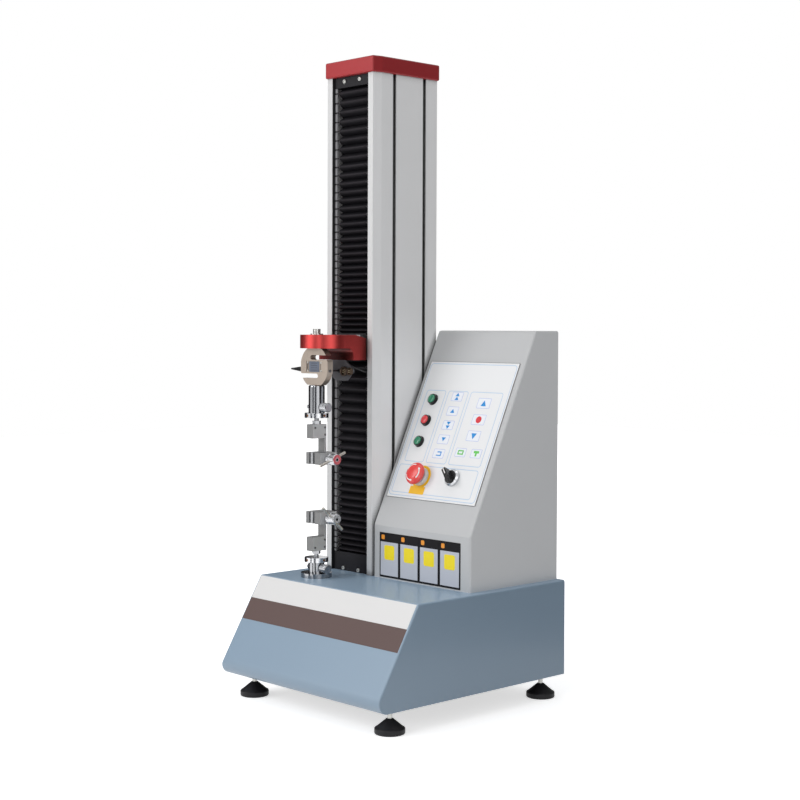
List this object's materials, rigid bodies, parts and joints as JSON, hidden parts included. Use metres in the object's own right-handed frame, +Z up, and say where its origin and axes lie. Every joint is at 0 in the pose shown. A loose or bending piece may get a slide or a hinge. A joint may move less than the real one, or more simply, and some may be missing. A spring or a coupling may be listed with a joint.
{
  "type": "universal testing machine",
  "caption": "Bench-top single-column testing machine: sloped base on levelling feet, slotted column with bellows, crosshead arm with S load cell, screw vice grips and sloping control box.",
  "frame": {"origin": "middle of the footprint of the base, on the floor under the foot pads", "axes": "+Z up along the column, -Y towards the operator, +X to the operator's right"},
  "size_m": [0.4, 0.434, 1.108],
  "materials": {
    "base_paint": "satin",
    "box_paint": "satin",
    "dark_paint": "satin",
    "red_paint": "gloss",
    "bare_steel": "machined",
    "bolt_steel": "zinc plated",
    "bearing_iron": "machined",
    "column_aluminium": "satin anodised",
    "strip_aluminium": "bright",
    "drive_aluminium": "machined",
    "belt_rubber": "matte",
    "bellows_cloth": "coated cloth",
    "foot_rubber": "matte",
    "cell_nickel": "satin nickel",
    "cable_rubber": "satin",
    "bracket_grey": "satin",
    "connector_black": "satin",
    "train_steel": "turned",
    "ring_steel": "knurled",
    "grip_chrome": "satin chrome",
    "jaw_steel": "hardened",
    "panel_film": "satin",
    "lamp_plastic": "clear coloured",
    "stop_grey": "satin",
    "stop_red": "gloss",
    "selector_chrome": "polished",
    "selector_black": "satin"
  },
  "bodies": {
    "frame_body": {"base_cover": "base_paint", "machine_plate": "bare_steel", "bottom_tray": "dark_paint", "foot_lock_nuts": "bare_steel", "column_profile": "column_aluminium", "column_cap": "red_paint", "linear_rails": "bare_steel", "screw_bearings": "bearing_iron", "bellows_brackets": "dark_paint", "guide_strips": "strip_aluminium", "servo_motor": "dark_paint", "timing_belt": "belt_rubber", "bellows_upper": "bellows_cloth", "bellows_lower": "bellows_cloth", "lower_adaptor": "train_steel", "lower_grip_stud": "train_steel", "lower_grip_body": "grip_chrome", "control_box": "box_paint", "control_box_rear": "box_paint", "control_panel": "panel_film", "pilot_lamps": "lamp_plastic", "stop_button_body": "stop_grey", "selector_body": "selector_chrome"},
    "crosshead": {"bellows_end_plates": "dark_paint", "crosshead_arm": "red_paint", "carriage": "drive_aluminium", "guide_blocks": "bare_steel", "ball_nut": "bare_steel", "load_cell": "cell_nickel", "load_cell_bolts": "bolt_steel", "cell_cable": "cable_rubber", "connector_bracket": "bracket_grey", "cable_connector": "connector_black", "upper_adaptor": "train_steel", "upper_grip_stud": "train_steel", "upper_grip_body": "grip_chrome"},
    "screw_drive": {"ball_screw": "bare_steel", "screw_pulley": "drive_aluminium"},
    "motor_drive": {"motor_pulley": "drive_aluminium"},
    "upper_cross_pin": {"upper_pin": "train_steel"},
    "upper_ring": {"upper_lock_ring": "ring_steel"},
    "upper_jaw": {"upper_moving_jaw": "jaw_steel"},
    "upper_clamp": {"upper_clamp_screw": "grip_chrome"},
    "upper_bar": {"upper_tommy_bar": "grip_chrome"},
    "lower_cross_pin": {"lower_pin": "train_steel"},
    "lower_ring": {"lower_lock_ring": "ring_steel"},
    "lower_jaw": {"lower_moving_jaw": "jaw_steel"},
    "lower_clamp": {"lower_clamp_screw": "grip_chrome"},
    "lower_bar": {"lower_tommy_bar": "grip_chrome"},
    "stop_stem": {"stop_button_stem": "stop_grey"},
    "stop_head": {"stop_button_head": "stop_red"},
    "selector": {"selector_knob": "selector_black"},
    "foot_front_left": {"foot_stud_front_left": "bare_steel", "foot_pad_front_left": "foot_rubber"},
    "foot_front_right": {"foot_stud_front_right": "bare_steel", "foot_pad_front_right": "foot_rubber"},
    "foot_rear_left": {"foot_stud_rear_left": "bare_steel", "foot_pad_rear_left": "foot_rubber"},
    "foot_rear_right": {"foot_stud_rear_right": "bare_steel", "foot_pad_rear_right": "foot_rubber"}
  },
  "joints": [
    {"name": "crosshead_travel", "type": "slide", "parent": "frame_body", "child": "crosshead", "axis": [0, 0, 1], "range_m": [-0.045, 0.3], "deforming": ["bellows_upper", "bellows_lower"]},
    {"name": "screw_spin", "type": "hinge", "parent": "frame_body", "child": "screw_drive", "pos_m": [-0.1145, 0.07, 0.6], "axis": [0, 0, 1], "range_deg": [-11000, 1800]},
    {"name": "motor_spin", "type": "hinge", "parent": "frame_body", "child": "motor_drive", "pos_m": [-0.0095, 0.07, 0.16], "axis": [0, 0, 1], "range_deg": [-22000, 3600]},
    {"name": "upper_pin_pull", "type": "slide", "parent": "crosshead", "child": "upper_cross_pin", "axis": [1, 0, 0], "range_m": [0, 0.05]},
    {"name": "upper_ring_turn", "type": "hinge", "parent": "crosshead", "child": "upper_ring", "pos_m": [-0.1145, -0.0775, 0.4843], "axis": [0, 0, 1], "range_deg": [-60, 60]},
    {"name": "upper_jaw_close", "type": "slide", "parent": "crosshead", "child": "upper_jaw", "axis": [1, 0, 0], "range_m": [-0.0043, 0.0043]},
    {"name": "upper_screw_turn", "type": "hinge", "parent": "upper_jaw", "child": "upper_clamp", "pos_m": [-0.0719, -0.0775, 0.41025], "axis": [1, 0, 0], "range_deg": [-900, 900]},
    {"name": "upper_bar_slide", "type": "slide", "parent": "upper_clamp", "child": "upper_bar", "axis": [0, 0.9385, 0.3453], "range_m": [-0.018, 0.018]},
    {"name": "lower_pin_pull", "type": "slide", "parent": "frame_body", "child": "lower_cross_pin", "axis": [1, 0, 0], "range_m": [0, 0.05]},
    {"name": "lower_ring_turn", "type": "hinge", "parent": "frame_body", "child": "lower_ring", "pos_m": [-0.1145, -0.0775, 0.2335], "axis": [0, 0, 1], "range_deg": [-60, 60]},
    {"name": "lower_jaw_close", "type": "slide", "parent": "frame_body", "child": "lower_jaw", "axis": [1, 0, 0], "range_m": [-0.0043, 0.0043]},
    {"name": "lower_screw_turn", "type": "hinge", "parent": "lower_jaw", "child": "lower_clamp", "pos_m": [-0.0719, -0.0775, 0.30755], "axis": [1, 0, 0], "range_deg": [-900, 900]},
    {"name": "lower_bar_slide", "type": "slide", "parent": "lower_clamp", "child": "lower_bar", "axis": [0, 0.7373, -0.6756], "range_m": [-0.018, 0.018]},
    {"name": "stop_press", "type": "slide", "parent": "frame_body", "child": "stop_stem", "axis": [0, 0.9061, -0.4232], "range_m": [0, 0.005]},
    {"name": "stop_twist", "type": "hinge", "parent": "stop_stem", "child": "stop_head", "pos_m": [0.029, 0.0252, 0.38567], "axis": [0, 0.9061, -0.4232], "range_deg": [0, 30], "stiffness_Nm_per_rad": 0.1},
    {"name": "selector_turn", "type": "hinge", "parent": "frame_body", "child": "selector", "pos_m": [0.103, 0.03212, 0.3863], "axis": [0, -0.9061, 0.4232], "range_deg": [-90, 0]},
    {"name": "foot_front_left_level", "type": "slide", "parent": "frame_body", "child": "foot_front_left", "axis": [0, 0, 1], "range_m": [-0.012, 0.008]},
    {"name": "foot_front_right_level", "type": "slide", "parent": "frame_body", "child": "foot_front_right", "axis": [0, 0, 1], "range_m": [-0.012, 0.008]},
    {"name": "foot_rear_left_level", "type": "slide", "parent": "frame_body", "child": "foot_rear_left", "axis": [0, 0, 1], "range_m": [-0.012, 0.008]},
    {"name": "foot_rear_right_level", "type": "slide", "parent": "frame_body", "child": "foot_rear_right", "axis": [0, 0, 1], "range_m": [-0.012, 0.008]}
  ],
  "couplings": [
    {"joint": "screw_spin", "follows": "crosshead_travel", "rad_per_m": -628.32},
    {"joint": "motor_spin", "follows": "crosshead_travel", "rad_per_m": -1256.6},
    {"joint": "upper_screw_turn", "follows": "upper_jaw_close", "rad_per_m": 3590.4},
    {"joint": "lower_screw_turn", "follows": "lower_jaw_close", "rad_per_m": 3590.4}
  ]
}
